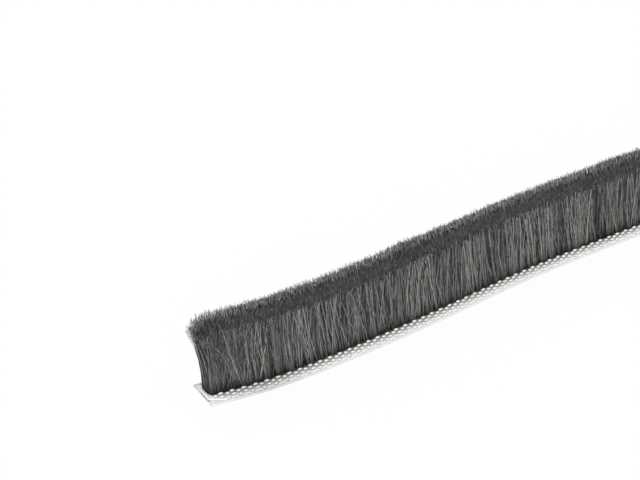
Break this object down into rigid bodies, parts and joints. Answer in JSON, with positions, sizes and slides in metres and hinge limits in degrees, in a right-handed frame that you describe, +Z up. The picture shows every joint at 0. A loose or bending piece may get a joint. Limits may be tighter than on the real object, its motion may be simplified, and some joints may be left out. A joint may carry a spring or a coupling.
{
  "type": "brush seal strip",
  "caption": "Self-adhesive brush seal strip: dense upright pile on a narrow woven backing with a flat adhesive underside, for sealing the gap at a door or window edge.",
  "frame": {"origin": "middle of the strip's length, on the centre line of the tape's underside", "axes": "+X along the strip away from its slightly bent end, +Y across it, +Z up through the pile"},
  "size_m": [1.0011, 0.0142, 0.0161],
  "materials": {
    "tape": "smooth off-white adhesive tape with its release liner",
    "backing": "white woven polypropylene, plain weave, slightly glossy",
    "pile": "dark grey fine polypropylene fibres, trimmed flat at the top"
  },
  "bodies": {
    "root": {"adhesive_tape": "tape", "woven_backing": "backing", "pile": "pile"}
  },
  "joints": []
}
